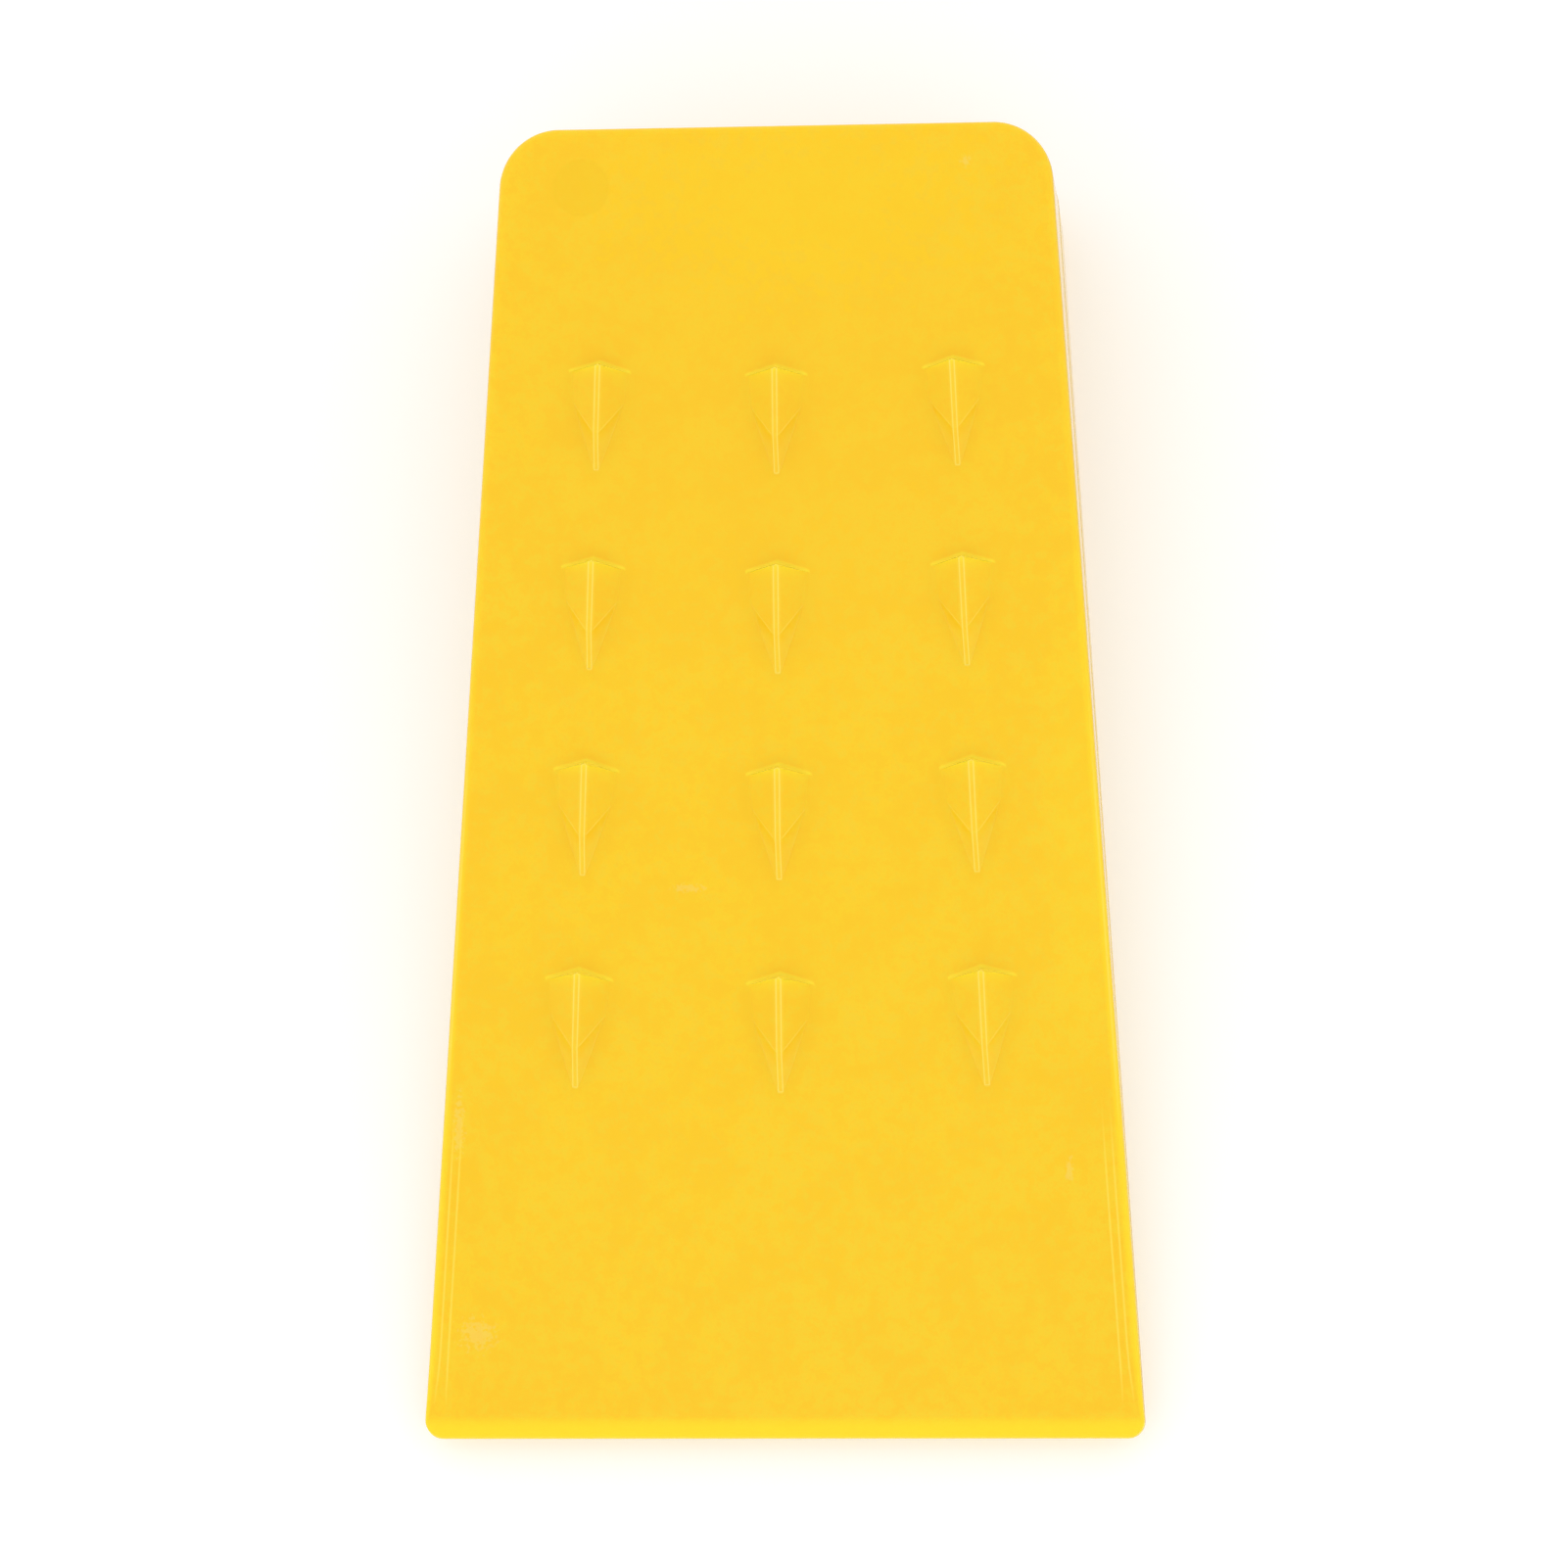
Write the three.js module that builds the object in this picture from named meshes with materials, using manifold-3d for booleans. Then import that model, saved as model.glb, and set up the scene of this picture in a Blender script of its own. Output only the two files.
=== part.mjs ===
// A small felling wedge: one solid moulding in yellow plastic, with rows of barbs on both of its faces.
// Millimetres, +Z up. The thin tip points to -Y and the thick head, which a hammer strikes, to +Y.
// The wedge lies on the barbs of its lower face, which is level; its upper face rises towards the head.

import * as THREE from 'three';
import Module from 'manifold-3d';
import { ConvexGeometry } from 'three/addons/geometries/ConvexGeometry.js';
import { mergeVertices } from 'three/addons/utils/BufferGeometryUtils.js';

const wasm = await Module();
wasm.setup();

// Body
const bodyLength = 140;
const headWidth = 59.4;
const tipWidth = 77.9;
const headThickness = 25;
const tipThickness = 3;
const headCornerRadius = 6.5;
const tipCornerRadius = 1.8;
const edgeRadius = 1;
const edgeSteps = 3;
const arcSegments = 5;

// The tip ends in a bevelled nose.
const noseLength = 2;
const noseThickness = 1.2;

// One barb: a low keeled shell, steep at the end that faces the head and running out towards the tip.
const barbHeight = 2.1;
const barbLength = 11.4;
const keelHalfWidth = 0.25;
const keelBend = 7.4;
const keelBendHeight = 1.7;
const rootHalfWidth = 3.1;
const rootSweep = 0.7;
const rearDraft = 0.3;
const shoulderAt = 4;
const shoulderHalfWidth = 2.8;
const toeHalfWidth = 0.28;
const barbSink = 0.6;

// The barbs stand in columns that fan out with the body, and the pattern widens row by row to the tip.
const columns = [-1, 0, 1];
const columnFraction = 0.61;
const middleColumnShift = 0.63;
const rowCount = 4;
const firstRowFromTip = 114.3;
const rowPitch = 21;
const rowGrowth = 1.03;

const yellow = 0xfbcf33;

// Derived values
const tipY = -bodyLength / 2;
const headY = bodyLength / 2;
const lowerFaceZ = barbHeight;
const faceSlope = (headThickness - tipThickness) / bodyLength;
const faceAngle = Math.atan(faceSlope);
const sideAngle = Math.atan((tipWidth - headWidth) / 2 / bodyLength);

function halfWidthAt(y) {
  return (headWidth + tipWidth) / 4 - y * Math.tan(sideAngle);
}

function upperFaceZ(y) {
  return lowerFaceZ + tipThickness + (y - tipY) * faceSlope;
}

// A closed three.js geometry as a solid that can be joined and cut
function toSolid(geometry) {
  const bare = geometry.clone();
  bare.deleteAttribute('normal');
  bare.deleteAttribute('uv');
  const merged = mergeVertices(bare, 1e-4);
  return new wasm.Manifold(new wasm.Mesh({
    numProp: 3,
    vertProperties: new Float32Array(merged.attributes.position.array),
    triVerts: new Uint32Array(merged.index.array),
  }));
}

function toGeometry(solid) {
  const mesh = solid.getMesh();
  const geometry = new THREE.BufferGeometry();
  geometry.setAttribute('position', new THREE.BufferAttribute(mesh.vertProperties, mesh.numProp));
  geometry.setIndex(new THREE.BufferAttribute(mesh.triVerts, 1));
  geometry.computeVertexNormals();
  return geometry;
}

// Plan of the body: a trapezium with small round corners at the tip and large ones at the head
function bodyOutline() {
  const outline = new THREE.Shape();
  const corner = (side, y, radius, start, end) => {
    const x = side * (halfWidthAt(y) - radius / Math.cos(sideAngle));
    outline.absarc(x, y, radius, start, end, false);
  };
  const quarter = Math.PI / 2;
  corner(1, tipY + tipCornerRadius, tipCornerRadius, -quarter, sideAngle);
  corner(1, headY - headCornerRadius, headCornerRadius, sideAngle, quarter);
  corner(-1, headY - headCornerRadius, headCornerRadius, quarter, Math.PI - sideAngle);
  corner(-1, tipY + tipCornerRadius, tipCornerRadius, Math.PI - sideAngle, Math.PI + quarter);
  outline.closePath();
  return outline;
}

// A plate of the tip's thickness with rounded edges, whose upper half is raised to the sloping face
function bodySolid() {
  const wallHeight = tipThickness - 2 * edgeRadius;
  const plate = new THREE.ExtrudeGeometry(bodyOutline(), {
    depth: wallHeight,
    curveSegments: arcSegments,
    bevelThickness: edgeRadius,
    bevelSize: edgeRadius,
    bevelOffset: -edgeRadius,
    bevelSegments: edgeSteps,
  });
  plate.translate(0, 0, lowerFaceZ + edgeRadius);
  const middle = lowerFaceZ + tipThickness / 2;
  const position = plate.attributes.position;
  for (let i = 0; i < position.count; i += 1) {
    if (position.getZ(i) > middle) {
      position.setZ(i, position.getZ(i) + (position.getY(i) - tipY) * faceSlope);
    }
  }
  return toSolid(plate);
}

// A three-sided bar across the tip that cuts one side of the nose: from a point on a face, down to the nose
function noseCutter(faceZ, noseZ) {
  const start = new THREE.Vector2(tipY + noseLength, faceZ);
  const end = new THREE.Vector2(tipY, noseZ);
  const reach = end.clone().sub(start);
  const outer = new THREE.Vector2(tipY - noseLength, 2 * faceZ - noseZ);
  const profile = new THREE.Shape([start.sub(reach), end.add(reach), outer]);
  const bar = new THREE.ExtrudeGeometry(profile, { depth: 2 * tipWidth, bevelEnabled: false });
  const acrossTheTip = new THREE.Matrix4().makeBasis(
    new THREE.Vector3(0, 1, 0),
    new THREE.Vector3(0, 0, 1),
    new THREE.Vector3(1, 0, 0),
  );
  bar.applyMatrix4(acrossTheTip);
  bar.translate(-tipWidth, 0, 0);
  return toSolid(bar);
}

// One barb on the plane Z = 0, with its steep end at the origin and its toe towards -Y
function barbGeometry(growth) {
  const footprint = [
    [rearDraft, 0],
    [-rootSweep, rootHalfWidth],
    [-shoulderAt, shoulderHalfWidth],
    [-barbLength, toeHalfWidth],
  ];
  const keel = [
    [0, barbHeight],
    [-keelBend, keelBendHeight],
  ];
  const points = [];
  for (const side of [-1, 1]) {
    for (const [y, x] of footprint) {
      points.push(new THREE.Vector3(side * x * growth, y * growth, 0));
      points.push(new THREE.Vector3(side * x * growth, y * growth, -barbSink));
    }
    for (const [y, z] of keel) {
      points.push(new THREE.Vector3(side * keelHalfWidth, y * growth, z));
    }
  }
  return new ConvexGeometry(points);
}

// Places a barb on a face that rises by the given angle towards the head; normalSign is +1 above, -1 below
function barbSolid(x, y, z, riseAngle, normalSign, growth) {
  const column = Math.sign(x);
  const fan = Math.atan(columnFraction * Math.tan(sideAngle)) * column;
  const uphill = new THREE.Vector3(0, Math.cos(riseAngle), Math.sin(riseAngle));
  const normal = new THREE.Vector3(0, -Math.sin(riseAngle), Math.cos(riseAngle)).multiplyScalar(normalSign);
  const along = uphill.applyAxisAngle(normal, fan * normalSign);
  const across = new THREE.Vector3().crossVectors(along, normal);
  const placed = barbGeometry(growth);
  placed.applyMatrix4(new THREE.Matrix4().makeBasis(across, along, normal).setPosition(x, y, z));
  return toSolid(placed);
}

function wedgeSolid() {
  const noseMiddle = lowerFaceZ + tipThickness / 2;
  let wedge = bodySolid()
    .subtract(noseCutter(upperFaceZ(tipY + noseLength), noseMiddle + noseThickness / 2))
    .subtract(noseCutter(lowerFaceZ, noseMiddle - noseThickness / 2));
  let rowY = tipY + firstRowFromTip;
  for (let row = 0; row < rowCount; row += 1) {
    const growth = rowGrowth ** row;
    for (const column of columns) {
      const y = column === 0 ? rowY - middleColumnShift : rowY;
      const x = column * columnFraction * halfWidthAt(y);
      wedge = wedge
        .add(barbSolid(x, y, upperFaceZ(y), faceAngle, 1, growth))
        .add(barbSolid(x, y, lowerFaceZ, 0, -1, growth));
    }
    rowY -= rowPitch * growth;
  }
  return wedge;
}

const wedge = new THREE.Mesh(
  toGeometry(wedgeSolid()),
  new THREE.MeshStandardMaterial({ color: yellow, roughness: 0.4, metalness: 0 }),
);
wedge.name = 'felling_wedge';

const part = new THREE.Group();
part.add(wedge);

export default part;
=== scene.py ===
"""The finished look of a small plastic felling wedge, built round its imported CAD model."""

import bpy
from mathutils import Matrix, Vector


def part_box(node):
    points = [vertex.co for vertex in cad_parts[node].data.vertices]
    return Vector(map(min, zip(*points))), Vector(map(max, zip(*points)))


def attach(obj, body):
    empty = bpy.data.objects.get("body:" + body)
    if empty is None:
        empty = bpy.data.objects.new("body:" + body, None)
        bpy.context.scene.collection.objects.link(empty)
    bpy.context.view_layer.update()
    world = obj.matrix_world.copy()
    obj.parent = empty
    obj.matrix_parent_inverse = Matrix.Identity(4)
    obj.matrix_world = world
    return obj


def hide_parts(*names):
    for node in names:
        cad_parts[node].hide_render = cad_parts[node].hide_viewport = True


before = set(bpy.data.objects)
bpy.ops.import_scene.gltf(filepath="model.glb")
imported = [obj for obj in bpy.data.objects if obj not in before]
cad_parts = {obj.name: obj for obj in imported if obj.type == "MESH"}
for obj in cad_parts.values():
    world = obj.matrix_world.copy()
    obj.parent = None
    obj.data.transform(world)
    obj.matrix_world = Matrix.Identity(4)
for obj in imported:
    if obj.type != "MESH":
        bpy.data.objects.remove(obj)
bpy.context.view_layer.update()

import math
from collections import namedtuple

import bmesh
import bpy
from mathutils import Matrix, Vector
from mathutils.geometry import delaunay_2d_cdt

NODE = "felling_wedge"
MM = 0.001

# Sizes in millimetres. The length comes from the frame, and the rest are the CAD model's own.
low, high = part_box(NODE)
BODY_LENGTH = (high.y - low.y) / MM
TIP_Y = low.y / MM
HEAD_Y = high.y / MM
HEAD_WIDTH = 59.4
TIP_WIDTH = 77.9
HEAD_THICKNESS = 25.0
TIP_THICKNESS = 3.0
HEAD_CORNER_RADIUS = 6.5
TIP_CORNER_RADIUS = 1.8
EDGE_RADIUS = 1.0
NOSE_LENGTH = 2.0
NOSE_THICKNESS = 1.2
BARB_HEIGHT = 2.1
BARB_LENGTH = 11.4
KEEL_HALF_WIDTH = 0.25
KEEL_BEND = 7.4
KEEL_BEND_HEIGHT = 1.7
ROOT_HALF_WIDTH = 3.1
ROOT_SWEEP = 0.7
REAR_DRAFT = 0.3
SHOULDER_AT = 4.0
SHOULDER_HALF_WIDTH = 2.8
TOE_HALF_WIDTH = 0.28
COLUMNS = (-1, 0, 1)
COLUMN_FRACTION = 0.61
MIDDLE_COLUMN_SHIFT = 0.63
ROW_COUNT = 4
FIRST_ROW_FROM_TIP = 114.3
ROW_PITCH = 21.0
ROW_GROWTH = 1.03

# Moulding details that only the finished surface has
NOSE_EDGE_RADIUS = 0.42
EDGE_RADIUS_RUN = 9.0
NOSE_BLEND = 0.12
SIDE_DRAFT = math.radians(0.25)
SEAM_HEIGHT = 0.04
SEAM_HALF_WIDTH = 0.12
SEAM_WALL_SHARE = 0.2  # the most of a thin wall's half height that half the seam may take
BREAK = 0.09  # width of the rounding along a barb's sharp edges
BREAK_LIMIT = 0.3  # the most of a facet's length that the rounding may take
KEEL_ROUNDING = 0.02
KEEL_END_RUN = 0.6
KEEL_END_SHIFT = 0.1
CREASE_ROUNDING = 0.035
ROOT_FILLET = 0.22
ROOT_RISE = 0.035
FILLET_RISE = 0.006
TOE_RUN = 0.15  # how far short of its foot the keel's flat top stops at the toe
TOE_OVERRUN = 0.04
HALO_WIDTH = 1.5
WITNESS_START = 3.2
WITNESS_LENGTH = 33.0
WITNESS_HEIGHT = 0.03
WITNESS_HALF_WIDTH = 0.16
WITNESS_FADE_IN = 1 / 8  # part of the line's length
WITNESS_FADE_OUT = 1 / 3
OUTER_WITNESS_GAP = 0.28
INNER_WITNESS_INSET = 2.15
EJECTOR_RADIUS = 3.1
EJECTOR_DEPTH = 0.025
EJECTOR_AT = (-21.0, 63.5)
EJECTOR_RINGS = ((1.0, 0.0), (0.96, 0.5), (0.9, 1.0))  # (part of the radius, part of the depth)

# How strongly the painted light through the thin plastic and along the barbs' roof lines shows, and how
# far it runs
TIP_EDGE_GLOW = 0.75
HEAD_EDGE_GLOW = 0.1
WALL_GLOW_SHARE = 0.5  # of the glow of the rounded edges above and below
NOSE_GLOW = 0.85
NOSE_GLOW_FULL = 1.2
NOSE_GLOW_FADE = 1.2
ROOF_GLOW = 0.85
ROOF_GLOW_RUN = 0.45
FACET_GLOW = 0.15
FACET_GLOW_RUN = 1.8
REAR_ROOT_GLOW = 0.9

# How strong the painted highlights and glints are on the rounded edges, the keel, the creases, the toes,
# the rear walls and the witness lines
EDGE_PALE = 0.5
EDGE_PALE_START = 31.0
EDGE_PALE_END = 78.0
EDGE_PALE_FADE = 12.0
KEEL_EDGE_PALE = 1.0
KEEL_TOP_PALE = 0.1
KEEL_FLANK_PALE = 0.1
CREASE_PALE = 0.45
CREASE_PALE_START = 2.0
CREASE_PALE_FADE = 2.0
TOE_PALE = 0.22
TOE_PALE_START = 5.9
TOE_PALE_FADE = 2.0
REAR_PALE = 0.5
REAR_ROOT_PALE = 0.12
WITNESS_PALE = 0.55
WITNESS_GLOW = 0.5

# How much painted shade the ring round a barb takes, from the top of the keel out to the face
KEEL_HALO = 0.2
ROOT_HALO = 0.3
FOOT_HALO = 0.8
FILLET_HALO = 1.0
FACE_HALO = 0.9

# Fineness of the mesh
FILLET_STEPS = 7
HIGHLIGHT_FILLET_STEP = 3
SHADED_FILLET_STEP = 1
TIP_CORNER_STEPS = 14
HEAD_CORNER_STEPS = 24
EJECTOR_STEPS = 48
WITNESS_STEPS = 16
GRID_STEP = 5.0
SIDE_STEP = 4.0
GRID_TIP_MARGIN = 5.5
GRID_HEAD_MARGIN = 3.0
GRID_SIDE_MARGIN = 3.4
GRID_MARK_GAP = 1.0
NOSE_SIDE_OFFSETS = (0.05, 0.35, 0.8, 1.6, 3.0)
NOSE_LINE_OFFSETS = (-0.9, -0.3, 0.0, 0.3, 0.9)
WALL_FRACTIONS = (0.8, 0.6, 0.45)
FACET_STEPS = (0.1, 0.22, 0.4, 0.6, 0.78, 0.9)
ROOF_SPACING = (0.0, 0.25, 0.5, 0.75, 0.9, 0.965)
UPPER_FACET_SPACING = (0.0, 0.03, 0.08, 0.2, 0.35, 0.5, 0.65, 0.8, 0.92, 0.975)
TOE_FACET_SPACING = (0.0, 0.02, 0.07, 0.2, 0.4, 0.6, 0.8, 0.93, 0.98)
TOE_END_SPACING = (0.0, 0.5)

FACE_RISE = (HEAD_THICKNESS - TIP_THICKNESS) / BODY_LENGTH
SIDE_ANGLE = math.atan((TIP_WIDTH - HEAD_WIDTH) / 2 / BODY_LENGTH)
LOWER_Z = BARB_HEIGHT
NOSE_MIDDLE = LOWER_Z + TIP_THICKNESS / 2


def half_width(y):
    return (HEAD_WIDTH + TIP_WIDTH) / 4 - y * math.tan(SIDE_ANGLE)


def smooth_min(a, b, blend):
    return min(a, b) - max(blend - abs(a - b), 0) ** 2 / (4 * blend)


def smooth_step(t):
    t = min(max(t, 0.0), 1.0)
    return t * t * (3 - 2 * t)


def mix(a, b, t):
    return a + (b - a) * t


class Skin:
    """Collects the points and faces of one closed mesh, with three painted values at every point.

    glow marks painted light coming through thin plastic and along sharp edges, pale marks painted
    highlights and glints on edges, keel, creases, toes and rear walls, and the third value marks painted
    shade in the ring round each barb and along the nose's edge.
    """

    def __init__(self):
        self.points = []
        self.faces = []
        self.paint = {"glow": [], "pale": [], "halo": []}

    def add(self, point, glow=0.0, pale=0.0, halo=0.0):
        self.points.append(tuple(point))
        for key, value in (("glow", glow), ("pale", pale), ("halo", halo)):
            self.paint[key].append(value)
        return len(self.points) - 1

    def bridge(self, ring_a, ring_b):
        """Joins two closed rings of the same length with a band of quads."""
        count = len(ring_a)
        for i in range(count):
            j = (i + 1) % count
            self.faces.append((ring_a[i], ring_a[j], ring_b[j], ring_b[i]))

    def zip_shut(self, ring):
        """Fills a narrow ring that is the same on both sides of a line through its first point."""
        self.faces.append((ring[0], ring[1], ring[-1]))
        middle = len(ring) // 2
        for i in range(1, middle - 1):
            self.faces.append((ring[i], ring[i + 1], ring[-i - 1], ring[-i]))
        self.faces.append((ring[middle - 1], ring[middle], ring[1 - middle]))

    def to_object(self, name):
        mesh = bpy.data.meshes.new(name)
        scaled = [(x * MM, y * MM, z * MM) for x, y, z in self.points]
        mesh.from_pydata(scaled, [], self.faces)
        for key, values in self.paint.items():
            layer = mesh.attributes.new(key, "FLOAT", "POINT")
            layer.data.foreach_set("value", values)
        work = bmesh.new()
        work.from_mesh(mesh)
        bmesh.ops.recalc_face_normals(work, faces=work.faces)
        work.to_mesh(mesh)
        work.free()
        mesh.polygons.foreach_set("use_smooth", [True] * len(mesh.polygons))
        made = bpy.data.objects.new(name, mesh)
        bpy.context.scene.collection.objects.link(made)
        return made


class Face:
    """One of the two barbed faces: the sloping upper one (side +1) or the level lower one (side -1)."""

    def __init__(self, side, rise):
        self.side = side
        self.rise = rise
        self.base = LOWER_Z + (TIP_THICKNESS if side > 0 else 0.0)
        angle = math.atan(rise)
        self.uphill = Vector((0, math.cos(angle), math.sin(angle)))
        self.normal = Vector((0, -math.sin(angle), math.cos(angle))) * side

    def plane_z(self, y):
        return self.base + (y - TIP_Y) * self.rise

    def z(self, y):
        """Height of the face, with the bevel that ends it at the nose."""
        nose_z = NOSE_MIDDLE + self.side * NOSE_THICKNESS / 2
        bevel_z = mix(nose_z, self.plane_z(TIP_Y + NOSE_LENGTH), (y - TIP_Y) / NOSE_LENGTH)
        return self.side * smooth_min(self.side * self.plane_z(y), self.side * bevel_z, NOSE_BLEND)

    def point(self, x, y, lift=0.0):
        return Vector((x, y, self.z(y))) + self.normal * lift


def edge_radius(y):
    return mix(NOSE_EDGE_RADIUS, EDGE_RADIUS, smooth_step((y - TIP_Y) / EDGE_RADIUS_RUN))


def edge_glow(y):
    """Painted light coming through the thin end, and less and less of it towards the head."""
    return mix(TIP_EDGE_GLOW, HEAD_EDGE_GLOW, smooth_step((y - TIP_Y) / BODY_LENGTH))


def edge_highlight(y):
    """A painted highlight along the rounded long edges, over their middle stretch."""
    from_tip = y - TIP_Y
    fade_in = smooth_step((from_tip - EDGE_PALE_START) / EDGE_PALE_FADE)
    fade_out = smooth_step((EDGE_PALE_END - from_tip) / EDGE_PALE_FADE)
    return EDGE_PALE * fade_in * fade_out


# Painted light coming through the thin nose, full near the tip and fading away from it
def nose_glow(y):
    return NOSE_GLOW * (1 - smooth_step((y - TIP_Y - NOSE_GLOW_FULL) / NOSE_GLOW_FADE))


def arc(centre_x, centre_y, radius, start, end, count):
    found = []
    for i in range(count + 1):
        angle = mix(start, end, i / count)
        normal = (math.cos(angle), math.sin(angle))
        found.append((centre_x + radius * normal[0], centre_y + radius * normal[1], *normal))
    return found


def outline():
    """Points (x, y, normal x, normal y) of the plan, counter-clockwise from the middle of the tip."""
    quarter = math.pi / 2
    tip_centre_y = TIP_Y + TIP_CORNER_RADIUS
    tip_centre_x = half_width(tip_centre_y) - TIP_CORNER_RADIUS / math.cos(SIDE_ANGLE)
    head_centre_y = HEAD_Y - HEAD_CORNER_RADIUS
    head_centre_x = half_width(head_centre_y) - HEAD_CORNER_RADIUS / math.cos(SIDE_ANGLE)
    tip_arc = arc(tip_centre_x, tip_centre_y, TIP_CORNER_RADIUS, -quarter, SIDE_ANGLE, TIP_CORNER_STEPS)
    head_arc = arc(
        head_centre_x, head_centre_y, HEAD_CORNER_RADIUS, SIDE_ANGLE, quarter, HEAD_CORNER_STEPS
    )
    steps = int(tip_centre_x / GRID_STEP)
    right = [(tip_centre_x * i / steps, TIP_Y, 0.0, -1.0) for i in range(steps)]
    right += tip_arc
    side_start, side_end = tip_arc[-1][1], head_arc[0][1]
    near_nose = [TIP_Y + NOSE_LENGTH + offset for offset in NOSE_SIDE_OFFSETS]
    steps = int((side_end - side_start) / SIDE_STEP)
    further = [mix(near_nose[-1], side_end, i / steps) for i in range(1, steps)]
    for y in near_nose + further:
        right.append((half_width(y), y, math.cos(SIDE_ANGLE), math.sin(SIDE_ANGLE)))
    right += head_arc
    steps = int(head_centre_x / GRID_STEP)
    right += [(head_centre_x * (1 - i / steps), HEAD_Y, 0.0, 1.0) for i in range(1, steps + 1)]
    left = [(-x, y, -nx, ny) for x, y, nx, ny in reversed(right[1:-1])]
    return right + left


def fillet_rings(skin, face, plan):
    """Rings down the rounded edge of a face, from the flat to the upright wall."""
    rings = []
    for step in range(FILLET_STEPS + 1):
        turn = math.pi / 2 * step / FILLET_STEPS
        ring = []
        for x, y, nx, ny in plan:
            radius = edge_radius(y)
            inset = radius * (1 - math.sin(turn))
            drop = radius * (1 - math.cos(turn))
            ring_y = y - ny * inset
            z = face.z(ring_y) - face.side * drop
            # Painted light through the thin edge, a painted highlight on one step of the rounding, and a
            # painted shade line along the nose's edge
            glow = max(edge_glow(y) * math.sin(2 * turn), nose_glow(ring_y))
            pale = edge_highlight(y) if step == HIGHLIGHT_FILLET_STEP else 0.0
            halo = nose_glow(ring_y) if step == SHADED_FILLET_STEP else 0.0
            ring.append(skin.add((x - nx * inset, ring_y, z), glow=glow, pale=pale, halo=halo))
        rings.append(ring)
    return rings


def wall_rings(skin, upper, lower, plan):
    """Rings down the upright wall, which swells to a fine raised parting seam at half height."""
    above = len(WALL_FRACTIONS) + 2
    rings = [[] for _ in range(2 * above + 1)]
    for x, y, nx, ny in plan:
        top = upper.z(y) - edge_radius(y)
        bottom = lower.z(y) + edge_radius(y)
        middle, half = (top + bottom) / 2, (top - bottom) / 2
        seam = min(SEAM_HALF_WIDTH, SEAM_WALL_SHARE * half)
        heights = [half * part for part in WALL_FRACTIONS] + [2 * seam, seam]
        offsets = heights + [0.0] + [-height for height in reversed(heights)]
        # Painted light through the thin wall near the tip and the nose
        glow = max(WALL_GLOW_SHARE * edge_glow(y), nose_glow(y))
        for ring, offset in zip(rings, offsets):
            swell = math.tan(SIDE_DRAFT) * (half - abs(offset))
            if offset == 0.0:
                swell += SEAM_HEIGHT * min(1.0, half)
            ring.append(skin.add((x + nx * swell, y + ny * swell, middle + offset), glow=glow))
    return rings


def barb_stations():
    """Lines (foot, keel, crease) down the right half of a barb, from its head end to its toe.

    A foot is (x, y) and a keel point (x, y, z) in the barb's own axes. The crease is 1 where two
    facets meet along the line, and 0 elsewhere.
    """
    toe_height = KEEL_BEND_HEIGHT * TOE_RUN / (BARB_LENGTH - KEEL_BEND)
    sweep_at_keel = (ROOT_SWEEP + REAR_DRAFT) * KEEL_HALF_WIDTH / ROOT_HALF_WIDTH
    feet = [
        (0.0, REAR_DRAFT),
        (ROOT_HALF_WIDTH, -ROOT_SWEEP),
        (SHOULDER_HALF_WIDTH, -SHOULDER_AT),
        (TOE_HALF_WIDTH, -BARB_LENGTH),
        (0.0, -BARB_LENGTH - TOE_OVERRUN),
    ]
    keel = [
        (0.0, 0.0, BARB_HEIGHT),
        (KEEL_HALF_WIDTH, -sweep_at_keel, BARB_HEIGHT),
        (KEEL_HALF_WIDTH, -KEEL_BEND, KEEL_BEND_HEIGHT),
        (KEEL_HALF_WIDTH, -BARB_LENGTH + TOE_RUN, toe_height),
        (0.0, -BARB_LENGTH + TOE_RUN, toe_height),
    ]
    spacings = (ROOF_SPACING, UPPER_FACET_SPACING, TOE_FACET_SPACING, TOE_END_SPACING)
    creased = (1, 2)
    stations = []
    for part, spacing in enumerate(spacings):
        for t in spacing:
            foot = tuple(mix(a, b, t) for a, b in zip(feet[part], feet[part + 1]))
            top = tuple(mix(a, b, t) for a, b in zip(keel[part], keel[part + 1]))
            crease = 1.0 if t == 0.0 and part in creased else 0.0
            stations.append((foot, top, crease))
    stations.append((feet[-1], keel[-1], 0.0))
    return stations


def behind_roof(x, y):
    """Whether a point of a barb's own plan is on its steep rear side."""
    return y > -ROOT_SWEEP * abs(x) / ROOT_HALF_WIDTH


def roof_glow(x, y, z):
    """Painted light and highlight along a barb's sharp roof line: on the steep rear side, where it also
    lifts the shade at the foot, and fading down the facets.
    """
    if behind_roof(x, y):
        return 1.0 if z > ROOT_RISE else REAR_ROOT_GLOW * (z > 0)
    beyond = -ROOT_SWEEP * abs(x) / ROOT_HALF_WIDTH - y
    near = ROOF_GLOW * math.exp(-beyond / ROOF_GLOW_RUN)
    far = FACET_GLOW * math.exp(-beyond / FACET_GLOW_RUN)
    return (near + far) * math.sqrt(max(z, 0) / BARB_HEIGHT)


def keel_top(keel):
    """A point on the flat top of the keel, drawn in from a point on the top's edge."""
    past_head = max(0.0, 1 + keel.y / KEEL_END_RUN)
    past_toe = max(0.0, 1 - (keel.y + BARB_LENGTH - TOE_RUN) / KEEL_END_RUN)
    return Vector((keel.x / 2, keel.y - KEEL_END_SHIFT * (past_head - past_toe)))


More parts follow.
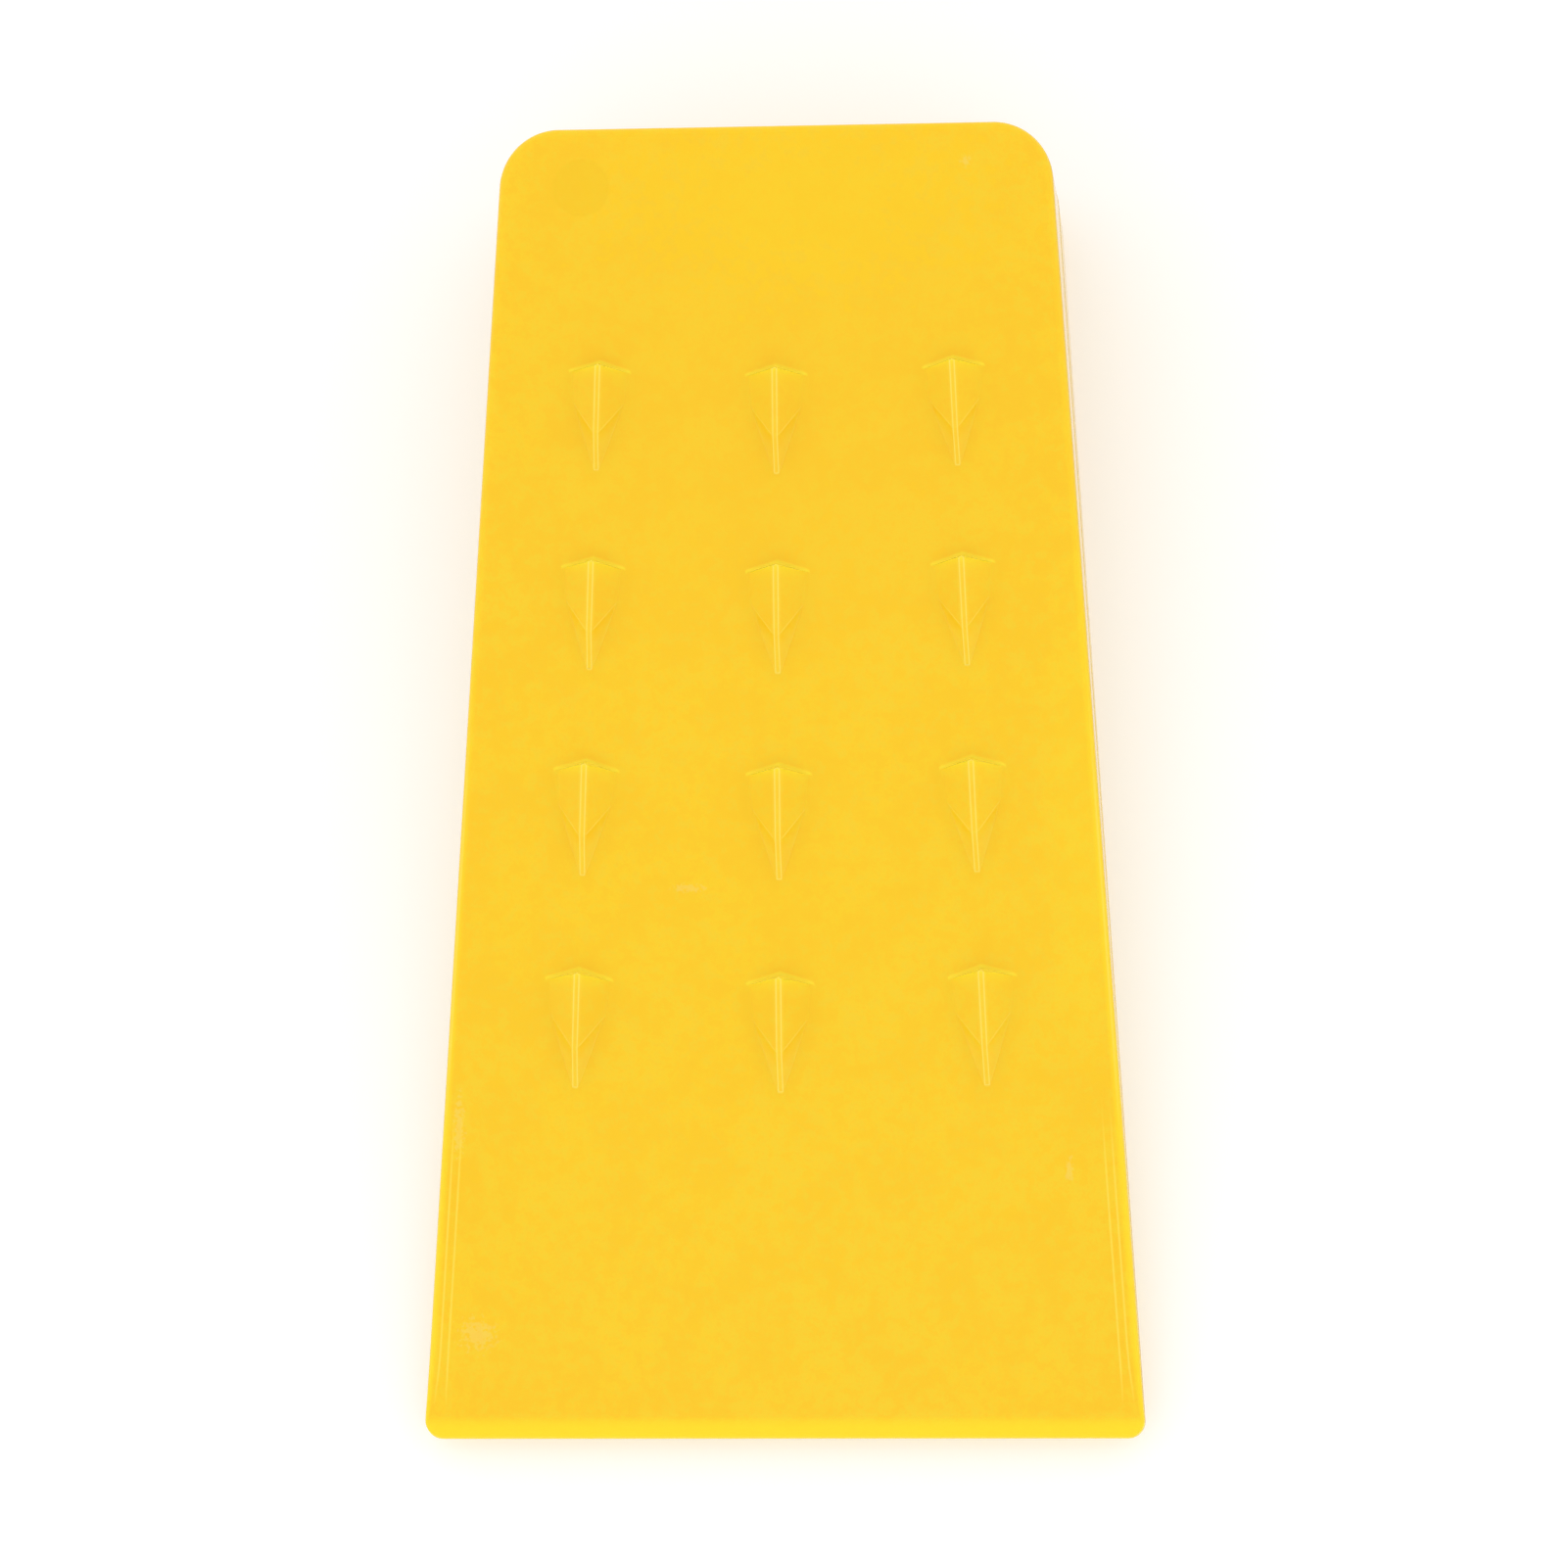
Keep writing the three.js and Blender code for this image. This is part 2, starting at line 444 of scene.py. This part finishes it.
def barb_column(foot, keel, height, crease, away):
    """Points (place, z, painted values) down one line of a barb: keel, facet, root and face."""
    edge = min(BREAK / (foot - keel).length, BREAK_LIMIT)
    # Painted glints along the creases, and a painted highlight that lifts the shaded toe facets
    crease_highlight = CREASE_PALE * crease * smooth_step((-keel.y - CREASE_PALE_START) / CREASE_PALE_FADE)
    middle_y = (keel.y + foot.y) / 2
    toe = TOE_PALE * smooth_step((-middle_y - TOE_PALE_START) / TOE_PALE_FADE)
    # Painted shade rings the barb's foot, and painted highlights run along the keel and facets
    points = [
        (keel_top(keel), height, {"pale": KEEL_TOP_PALE, "halo": KEEL_HALO}),
        (keel, height - KEEL_ROUNDING, {"pale": KEEL_EDGE_PALE}),
        (keel.lerp(foot, edge), height * (1 - edge), {"pale": KEEL_FLANK_PALE}),
    ]
    for step in FACET_STEPS:
        t = mix(edge, 1 - edge, step)
        z = height * (1 - t) - CREASE_ROUNDING * crease
        points.append((keel.lerp(foot, t), z, {"pale": max(crease_highlight, toe)}))
    points += [
        (keel.lerp(foot, 1 - edge), height * edge, {"pale": toe, "halo": ROOT_HALO}),
        (foot, ROOT_RISE, {"halo": FOOT_HALO}),
        (foot + away * ROOT_FILLET, FILLET_RISE, {"halo": FILLET_HALO}),
        (foot + away * 2 * ROOT_FILLET, 0.0, {"halo": FACE_HALO}),
        (foot + away * HALO_WIDTH, 0.0, {}),
    ]
    for place, z, paint in points:
        paint["glow"] = roof_glow(place.x, place.y, z)
        # On the steep rear side, painted light and a painted highlight take the place of the painted
        # shade
        if behind_roof(place.x, place.y) and z > 0:
            paint["halo"] = 0.0
            paint["pale"] = REAR_PALE if z > ROOT_RISE else REAR_ROOT_PALE
    return points


def barb_rings(growth):
    """Closed rings of (x, y, z, painted values) from the top of the keel out to the flat face."""
    half = barb_stations()
    mirrored = [((-f[0], f[1]), (-k[0], k[1], k[2]), crease) for f, k, crease in half[1:-1]]
    loop = half + mirrored[::-1]
    columns = []
    for i, (foot, keel, crease) in enumerate(loop):
        before, after = loop[i - 1][0], loop[(i + 1) % len(loop)][0]
        away = Vector((before[1] - after[1], after[0] - before[0])).normalized()
        columns.append(barb_column(Vector(foot), Vector(keel[:2]), keel[2], crease, away))
    return [
        [(place.x * growth, place.y * growth, z, paint) for place, z, paint in ring]
        for ring in zip(*columns)
    ]


def add_barb(skin, face, x, y, growth):
    """Adds one barb and returns the ring of points where it meets the flat face."""
    column = (x > 0) - (x < 0)
    fan = math.atan(COLUMN_FRACTION * math.tan(SIDE_ANGLE)) * column
    along = Matrix.Rotation(fan * face.side, 3, face.normal) @ face.uphill
    across = along.cross(face.normal)
    root = face.point(x, y)
    rings = []
    for ring in barb_rings(growth):
        made = []
        for u, v, z, paint in ring:
            made.append(skin.add(root + across * u + along * v + face.normal * z, **paint))
        rings.append(made)
    for inner, outer in zip(rings, rings[1:]):
        skin.bridge(inner, outer)
    skin.zip_shut(rings[0])
    return rings[-1]


def barb_places():
    """Every barb's place and size: (x, y, growth)."""
    row_y = TIP_Y + FIRST_ROW_FROM_TIP
    for row in range(ROW_COUNT):
        growth = ROW_GROWTH**row
        for column in COLUMNS:
            y = row_y - (MIDDLE_COLUMN_SHIFT if column == 0 else 0.0)
            yield column * COLUMN_FRACTION * half_width(y), y, growth
        row_y -= ROW_PITCH * growth


def inside(loop, x, y):
    """Whether a point of the plan is inside a closed loop of points."""
    hit = False
    for (x0, y0), (x1, y1) in zip(loop, loop[1:] + loop[:1]):
        if (y0 > y) != (y1 > y) and x < (x1 - x0) * (y - y0) / (y1 - y0) + x0:
            hit = not hit
    return hit


def witness_lines():
    """The fine lines left by the mould's inserts near the tip: lists of (x, y, strength)."""
    insets = (lambda y: edge_radius(y) + OUTER_WITNESS_GAP, lambda y: INNER_WITNESS_INSET)
    for side in (-1, 1):
        for inset in insets:
            line = []
            for i in range(WITNESS_STEPS + 1):
                t = i / WITNESS_STEPS
                y = TIP_Y + WITNESS_START + t * WITNESS_LENGTH
                strength = smooth_step(t / WITNESS_FADE_IN) * smooth_step((1 - t) / WITNESS_FADE_OUT)
                line.append((side * (half_width(y) - inset(y)), y, strength))
            yield line


class Sheet:
    """The points and lines that the triangles of one flat face must keep to."""

    def __init__(self, skin, face, rim):
        self.skin = skin
        self.face = face
        self.points = []
        self.edges = []
        self.keep_out = []
        self.holes = []
        self.rim = self.plan(rim)
        self.line(rim, closed=True)

    def plan(self, names):
        return [self.skin.points[i][:2] for i in names]

    def add(self, x, y, lift=0.0, **paint):
        return self.skin.add(self.face.point(x, y, lift), **paint)

    def line(self, names, closed=False):
        start, count = len(self.points), len(names)
        self.points += names
        joined = count if closed else count - 1
        self.edges += [(start + i, start + (i + 1) % count) for i in range(joined)]

    def add_barbs(self):
        for x, y, growth in barb_places():
            hole = add_barb(self.skin, self.face, x, y, growth)
            self.holes.append(self.plan(hole))
            self.line(hole, closed=True)

    def add_witness_lines(self):
        for line in witness_lines():
            for offset in (-WITNESS_HALF_WIDTH, 0.0, WITNESS_HALF_WIDTH):
                names = []
                for x, y, strength in line:
                    ridge = strength if offset == 0.0 else 0.0
                    # The raised witness line is real; its top gets a painted highlight and painted light
                    paint = {"glow": WITNESS_GLOW * ridge, "pale": WITNESS_PALE * ridge}
                    names.append(self.add(x + offset, y, WITNESS_HEIGHT * ridge, **paint))
                self.line(names)
            self.keep_out += [(x, y, GRID_MARK_GAP) for x, y, _ in line]

    def add_ejector_mark(self):
        centre_x, centre_y = EJECTOR_AT
        for part, depth in EJECTOR_RINGS:
            circle = arc(centre_x, centre_y, EJECTOR_RADIUS * part, 0.0, 2 * math.pi, EJECTOR_STEPS)
            names = [self.add(x, y, -EJECTOR_DEPTH * depth) for x, y, _, _ in circle[:-1]]
            self.line(names, closed=True)
        self.points.append(self.add(centre_x, centre_y, -EJECTOR_DEPTH))
        self.keep_out.append((centre_x, centre_y, EJECTOR_RADIUS + GRID_MARK_GAP))

    def add_nose_lines(self):
        for offset in NOSE_LINE_OFFSETS:
            y = TIP_Y + NOSE_LENGTH + offset
            span = half_width(y) - 2 * EDGE_RADIUS
            steps = int(2 * span / GRID_STEP)
            across = [mix(-span, span, i / steps) for i in range(steps + 1)]
            # Painted light through the thin nose
            self.line([self.add(x, y, glow=nose_glow(y)) for x in across])

    def add_grid(self):
        first, last = TIP_Y + GRID_TIP_MARGIN, HEAD_Y - GRID_HEAD_MARGIN
        rows = int((last - first) / GRID_STEP)
        for row in range(rows + 1):
            y = mix(first, last, row / rows)
            span = half_width(y) - GRID_SIDE_MARGIN
            steps = int(2 * span / GRID_STEP)
            for i in range(steps + 1):
                x = mix(-span, span, (i + 0.5 * (row % 2)) / (steps + 0.5))
                if self.is_plain(x, y):
                    self.points.append(self.add(x, y))

    def is_plain(self, x, y):
        """Whether a point of the plan is clear of every mark, barb and head corner."""
        near_mark = any(math.hypot(x - px, y - py) < gap for px, py, gap in self.keep_out)
        corner = HEAD_CORNER_RADIUS + GRID_MARK_GAP
        near_corner = y > HEAD_Y - corner and abs(x) > half_width(y) - corner
        return not (near_mark or near_corner or any(inside(loop, x, y) for loop in self.holes))

    def triangulate(self):
        flat = [Vector(point) for point in self.plan(self.points)]
        found, _, triangles, origins, _, _ = delaunay_2d_cdt(flat, self.edges, [], 0, 1e-5)
        if len(found) != len(flat):
            raise RuntimeError(f"the face's lines cross: {len(flat)} points became {len(found)}")
        names = [self.points[origin[0]] for origin in origins]
        for triangle in triangles:
            corners = [names[i] for i in triangle]
            middle = sum((Vector(point) for point in self.plan(corners)), Vector((0, 0))) / 3
            in_hole = any(inside(loop, *middle) for loop in self.holes)
            if inside(self.rim, *middle) and not in_hole:
                self.skin.faces.append(tuple(corners))


def fill_face(skin, face, rim):
    """Fills a face inside its rim: flat plastic with the barbs and the fine marks of the mould."""
    sheet = Sheet(skin, face, rim)
    sheet.add_barbs()
    sheet.add_witness_lines()
    if face.side > 0:
        sheet.add_ejector_mark()
    sheet.add_nose_lines()
    sheet.add_grid()
    sheet.triangulate()


def wedge_object():
    """The whole wedge as one closed, finely rounded mesh."""
    skin = Skin()
    upper, lower = Face(1, FACE_RISE), Face(-1, 0.0)
    plan = outline()
    upper_rings = fillet_rings(skin, upper, plan)
    lower_rings = fillet_rings(skin, lower, plan)
    stack = upper_rings + wall_rings(skin, upper, lower, plan) + lower_rings[::-1]
    for ring_a, ring_b in zip(stack, stack[1:]):
        skin.bridge(ring_a, ring_b)
    fill_face(skin, upper, upper_rings[0])
    fill_face(skin, lower, lower_rings[0])
    made = skin.to_object("wedge_body")
    flatten = made.modifiers.new("flat faces stay flat", "WEIGHTED_NORMAL")
    flatten.mode = "FACE_AREA"
    flatten.weight = 90
    return made


# Materials

BODY_COLOUR = (0.935, 0.600, 0.009, 1)
WARM_COLOUR = (0.930, 0.555, 0.007, 1)
COOL_COLOUR = (0.905, 0.610, 0.016, 1)
GATE_COLOUR = (0.950, 0.610, 0.000, 1)
LEMON_COLOUR = (0.950, 0.715, 0.008, 1)
HIGHLIGHT_COLOUR = (0.970, 0.750, 0.115, 1)
SHADE_AND_EJECTOR_COLOUR = (0.890, 0.555, 0.005, 1)
SCUFF_COLOUR = (0.900, 0.640, 0.120, 1)
SIDE_SHADE_COLOUR = (0.640, 0.385, 0.006, 1)

# The noises of the plastic, per millimetre; the streaks run along the wedge
NOISES = {
    "clouds": {"scale": 0.045, "detail": 4.0, "roughness": 0.6, "distortion": 0.6},
    "patches": {"scale": 0.13, "detail": 5.0, "roughness": 0.7},
    "mottle": {"scale": 0.7, "detail": 3.0, "roughness": 0.65},
    "grain": {"scale": 2.6, "detail": 2.0},
    "streaks": {"scale": 1.0, "detail": 3.0, "stretch": (0.5, 0.06, 0.5)},
}

# Tints over the whole surface, one on another: where the noise starts to show and is full
Tint = namedtuple("Tint", "noise start full strength colour")
TINTS = (
    Tint("clouds", 0.40, 0.60, 0.6, COOL_COLOUR),
    Tint("patches", 0.44, 0.58, 0.7, WARM_COLOUR),
    Tint("mottle", 0.50, 0.64, 0.7, COOL_COLOUR),
    Tint("mottle", 0.50, 0.38, 0.7, WARM_COLOUR),
    Tint("grain", 0.50, 0.70, 0.5, WARM_COLOUR),
)

# Marks on the upper face: place (x, y) and radii (across, along) in millimetres. The noise breaks
# up the mark's edge, by ragged times its radii.
Mark = namedtuple("Mark", "place radii strength colour softness noise ragged")
MARKS = [
    # Painted shade: a darker, more orange tone over the thick middle of the head
    Mark((0.0, 44.0), (25.0, 27.0), 0.35, WARM_COLOUR, 0.5, "patches", 0.8),
    Mark((2.0, -14.0), (27.0, 25.0), 0.2, GATE_COLOUR, 0.3, "mottle", 7.0),
    # Painted light: a lemon tone along the right edge
    Mark((33.5, -3.0), (4.0, 22.0), 0.18, LEMON_COLOUR, 0.6, "patches", 1.5),
    Mark((2.5, 61.5), (17.0, 8.0), 0.45, GATE_COLOUR, 0.3, "mottle", 4.0),
    Mark(EJECTOR_AT, (EJECTOR_RADIUS, EJECTOR_RADIUS), 0.6, SHADE_AND_EJECTOR_COLOUR, 0.08, "mottle", 0.1),
]
SCUFFS = (
    ((-9.8, -11.6), (1.4, 0.35)),
    ((-33.0, -59.0), (1.5, 1.3)),
    ((-34.9, -36.8), (0.4, 2.6)),
    ((31.0, -41.8), (0.35, 1.0)),
    ((20.7, 65.6), (0.45, 0.45)),
)
SCUFF_STRENGTH = 0.45
for scuff_place, scuff_radii in SCUFFS:
    MARKS.append(Mark(scuff_place, scuff_radii, SCUFF_STRENGTH, SCUFF_COLOUR, 0.4, "grain", 4.0))
ANY_HEIGHT = 1e5

# How far the painted shade round the barbs and the painted shade on the upright sides take over from the
# body's colour
PAINTED_SHADE_STRENGTH = 0.25
SIDE_SHADE_STRENGTH = 0.8

# Over which span of its normal's upward part a surface counts as upper face, and as upright side
UPPER_LEAN = (0.3, 0.6)
SIDE_LEAN = (0.6, 0.2)

# Roughness: which span of a noise turns into which span of roughness
SATIN_SPAN = (0.35, 0.7)
SATIN_ROUGHNESS = (0.36, 0.46)
STREAK_SPAN = (0.45, 0.75)
STREAK_ROUGHNESS = (0.0, 0.05)
SIDE_ROUGHNESS = 0.12

# Relief of the surface: (noise, strength, depth in metres)
RELIEF = (("clouds", 0.25, 0.00025), ("streaks", 0.12, 0.00006), ("grain", 0.35, 0.00002))

IOR = 1.49
SPECULAR_LEVEL = 0.3
SCATTER_WEIGHT = 0.15
SCATTER_RADII = (1.0, 0.55, 0.12)
SCATTER_SCALE = 0.0022


class Nodes:
    """Short ways to make and join shader nodes."""

    def __init__(self, name):
        self.material = bpy.data.materials.new(name)
        self.material.use_nodes = True
        self.tree = self.material.node_tree
        self.shader = self.tree.nodes["Principled BSDF"]

    def new(self, kind, **settings):
        node = self.tree.nodes.new(kind)
        for key, value in settings.items():
            setattr(node, key, value)
        return node

    def join(self, source, target):
        self.tree.links.new(source, target)

    def noise(self, place, scale, detail, roughness=0.5, distortion=0.0, stretch=(1, 1, 1)):
        node = self.new("ShaderNodeTexNoise")
        node.inputs["Scale"].default_value = scale
        node.inputs["Detail"].default_value = detail
        node.inputs["Roughness"].default_value = roughness
        node.inputs["Distortion"].default_value = distortion
        self.join(self.stretched(place, stretch), node.inputs["Vector"])
        return node.outputs["Fac"]

    def remap(self, value, span, result=(0.0, 1.0)):
        """Turns one span of values into another, smoothly, and holds its ends beyond it."""
        node = self.new("ShaderNodeMapRange", interpolation_type="SMOOTHSTEP")
        names = ("From Min", "From Max", "To Min", "To Max")
        for name, number in zip(names, (*span, *result)):
            node.inputs[name].default_value = number
        self.join(value, node.inputs["Value"])
        return node.outputs["Result"]

    def math(self, operation, a, b):
        node = self.new("ShaderNodeMath", operation=operation)
        for socket, value in zip(node.inputs, (a, b)):
            if isinstance(value, (int, float)):
                socket.default_value = value
            else:
                self.join(value, socket)
        return node.outputs["Value"]

    def blend(self, factor, colour_a, colour_b):
        node = self.new("ShaderNodeMix", data_type="RGBA")
        self.join(factor, node.inputs["Factor"])
        for key, colour in (("A", colour_a), ("B", colour_b)):
            socket = next(s for s in node.inputs if s.name == key and s.type == "RGBA")
            if isinstance(colour, tuple):
                socket.default_value = colour
            else:
                self.join(colour, socket)
        return next(s for s in node.outputs if s.type == "RGBA")

    def stretched(self, place, scale):
        node = self.new("ShaderNodeMapping")
        node.inputs["Scale"].default_value = scale
        self.join(place, node.inputs["Vector"])
        return node.outputs["Vector"]

    def tint(self, colour, mask, strength, towards):
        return self.blend(self.math("MULTIPLY", mask, strength), colour, towards)

    def spot(self, place, mark, noise):
        """A mask that is 1 inside a mark's ellipse."""
        node = self.new("ShaderNodeMapping", vector_type="TEXTURE")
        node.inputs["Location"].default_value = (*mark.place, 0)
        node.inputs["Scale"].default_value = (*mark.radii, ANY_HEIGHT)
        self.join(place, node.inputs["Vector"])
        radius = self.new("ShaderNodeVectorMath", operation="LENGTH")
        self.join(node.outputs["Vector"], radius.inputs[0])
        shift = self.math("MULTIPLY", self.math("SUBTRACT", noise, 0.5), mark.ragged)
        ragged = self.math("ADD", radius.outputs["Value"], shift)
        return self.remap(ragged, (1 + mark.softness, 1 - mark.softness))

    def painted(self, name):
        return self.new("ShaderNodeAttribute", attribute_name=name).outputs["Fac"]

    def bump(self, height, strength, distance, under=None):
        node = self.new("ShaderNodeBump")
        node.inputs["Strength"].default_value = strength
        node.inputs["Distance"].default_value = distance
        self.join(height, node.inputs["Height"])
        if under is not None:
            self.join(under, node.inputs["Normal"])
        return node.outputs["Normal"]


def plastic_colour(n, place, noises, upper, side):
    """The base colour: clouds and grain, marks on the upper face, painted shade round the barbs and on
    the sides, and painted light and highlights.
    """
    colour = BODY_COLOUR
    for tint in TINTS:
        mask = n.remap(noises[tint.noise], (tint.start, tint.full))
        colour = n.tint(colour, mask, tint.strength, tint.colour)
    for mark in MARKS:
        mask = n.math("MULTIPLY", n.spot(place, mark, noises[mark.noise]), upper)
        colour = n.tint(colour, mask, mark.strength, mark.colour)
    # Painted shade round each barb and along the nose's edge
    colour = n.tint(colour, n.painted("halo"), PAINTED_SHADE_STRENGTH, SHADE_AND_EJECTOR_COLOUR)
    # Painted shade: the upright sides darker than the faces
    colour = n.tint(colour, side, SIDE_SHADE_STRENGTH, SIDE_SHADE_COLOUR)
    # Painted light through the thin plastic and along the roof lines
    colour = n.blend(n.painted("glow"), colour, LEMON_COLOUR)
    # Painted highlights and glints
    return n.blend(n.painted("pale"), colour, HIGHLIGHT_COLOUR)


def plastic_roughness(n, noises, side, textured):
    """Satin with faint streaks on the faces, and smooth on the sides."""
    satin = n.remap(noises["mottle"], SATIN_SPAN, SATIN_ROUGHNESS)
    streaks = n.remap(noises["streaks"], STREAK_SPAN, STREAK_ROUGHNESS)
    faces = n.math("MULTIPLY", n.math("ADD", satin, streaks), textured)
    return n.math("ADD", faces, n.math("MULTIPLY", side, SIDE_ROUGHNESS))


def plastic_material():
    """Injection-moulded yellow plastic: satin, faintly clouded, fine grained, with painted light where
    it is thin, painted highlights on its edges and painted shade round its barbs and on its sides.
    """
    n = Nodes("yellow_plastic")
    place = n.stretched(n.new("ShaderNodeTexCoord").outputs["Object"], (1 / MM,) * 3)
    normal = n.new("ShaderNodeSeparateXYZ")
    n.join(n.new("ShaderNodeNewGeometry").outputs["True Normal"], normal.inputs["Vector"])
    upper = n.remap(normal.outputs["Z"], UPPER_LEAN)
    side = n.remap(n.math("ABSOLUTE", normal.outputs["Z"], 0.0), SIDE_LEAN)
    textured = n.math("SUBTRACT", 1.0, side)
    noises = {name: n.noise(place, **settings) for name, settings in NOISES.items()}

    n.join(plastic_colour(n, place, noises, upper, side), n.shader.inputs["Base Color"])
    n.join(plastic_roughness(n, noises, side, textured), n.shader.inputs["Roughness"])
    relief = None
    for name, strength, depth in RELIEF:
        height = n.math("MULTIPLY", noises[name], textured)
        relief = n.bump(height, strength, depth, relief)
    n.join(relief, n.shader.inputs["Normal"])

    n.shader.inputs["IOR"].default_value = IOR
    n.shader.inputs["Specular IOR Level"].default_value = SPECULAR_LEVEL
    n.shader.inputs["Subsurface Weight"].default_value = SCATTER_WEIGHT
    n.shader.inputs["Subsurface Radius"].default_value = SCATTER_RADII
    n.shader.inputs["Subsurface Scale"].default_value = SCATTER_SCALE
    return n.material


def floor_material():
    n = Nodes("studio_floor")
    n.shader.inputs["Base Color"].default_value = FLOOR_COLOUR
    n.shader.inputs["Roughness"].default_value = FLOOR_ROUGHNESS
    n.shader.inputs["Emission Color"].default_value = WHITE
    n.shader.inputs["Emission Strength"].default_value = FLOOR_GLOW
    return n.material


# Studio

CAMERA_DISTANCE = 0.700
CAMERA_ELEVATION = math.radians(78.0)
CAMERA_AZIMUTH = math.radians(25.15)
CAMERA_ROLL = math.radians(-25.22)
CAMERA_LENS = 149.1
AIM_X = 0.58
AIM_Y = -0.62

WHITE = (1, 1, 1, 1)
SKY_STRENGTH = 1.06
FLOOR_HALF_SIZE = 1.5
FLOOR_COLOUR = (0.74, 0.74, 0.74, 1)
FLOOR_ROUGHNESS = 0.7
FLOOR_GLOW = 0.3


def make_camera():
    """Looks steeply down on the upper face, turned so that the wedge stands upright in the picture."""
    back = Vector((
        math.sin(CAMERA_AZIMUTH) * math.cos(CAMERA_ELEVATION),
        -math.cos(CAMERA_AZIMUTH) * math.cos(CAMERA_ELEVATION),
        math.sin(CAMERA_ELEVATION),
    ))
    level = Vector((0, 0, 1)).cross(back).normalized()
    rise = back.cross(level)
    right = level * math.cos(CAMERA_ROLL) + rise * math.sin(CAMERA_ROLL)
    up = rise * math.cos(CAMERA_ROLL) - level * math.sin(CAMERA_ROLL)
    aim = Face(1, FACE_RISE).point(AIM_X, AIM_Y) * MM
    data = bpy.data.cameras.new("camera")
    data.lens = CAMERA_LENS
    camera = bpy.data.objects.new("camera", data)
    bpy.context.scene.collection.objects.link(camera)
    axes = Matrix((right, up, back)).transposed().to_4x4()
    camera.matrix_world = Matrix.Translation(aim + back * CAMERA_DISTANCE) @ axes
    bpy.context.scene.camera = camera


def make_studio():
    """A white sky that lights the wedge evenly from all round, and a plain pale floor."""
    world = bpy.data.worlds.new("studio")
    world.use_nodes = True
    background = world.node_tree.nodes["Background"]
    background.inputs["Color"].default_value = WHITE
    background.inputs["Strength"].default_value = SKY_STRENGTH
    bpy.context.scene.world = world
    bpy.context.scene.view_settings.view_transform = "Standard"

    half = FLOOR_HALF_SIZE
    corners = [(-half, -half, 0), (half, -half, 0), (half, half, 0), (-half, half, 0)]
    mesh = bpy.data.meshes.new("floor")
    mesh.from_pydata(corners, [], [(0, 1, 2, 3)])
    mesh.materials.append(floor_material())
    floor = bpy.data.objects.new("floor", mesh)
    bpy.context.scene.collection.objects.link(floor)


make_camera()
wedge = wedge_object()
wedge.data.materials.append(plastic_material())
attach(wedge, "root")
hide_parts(NODE)
make_studio()
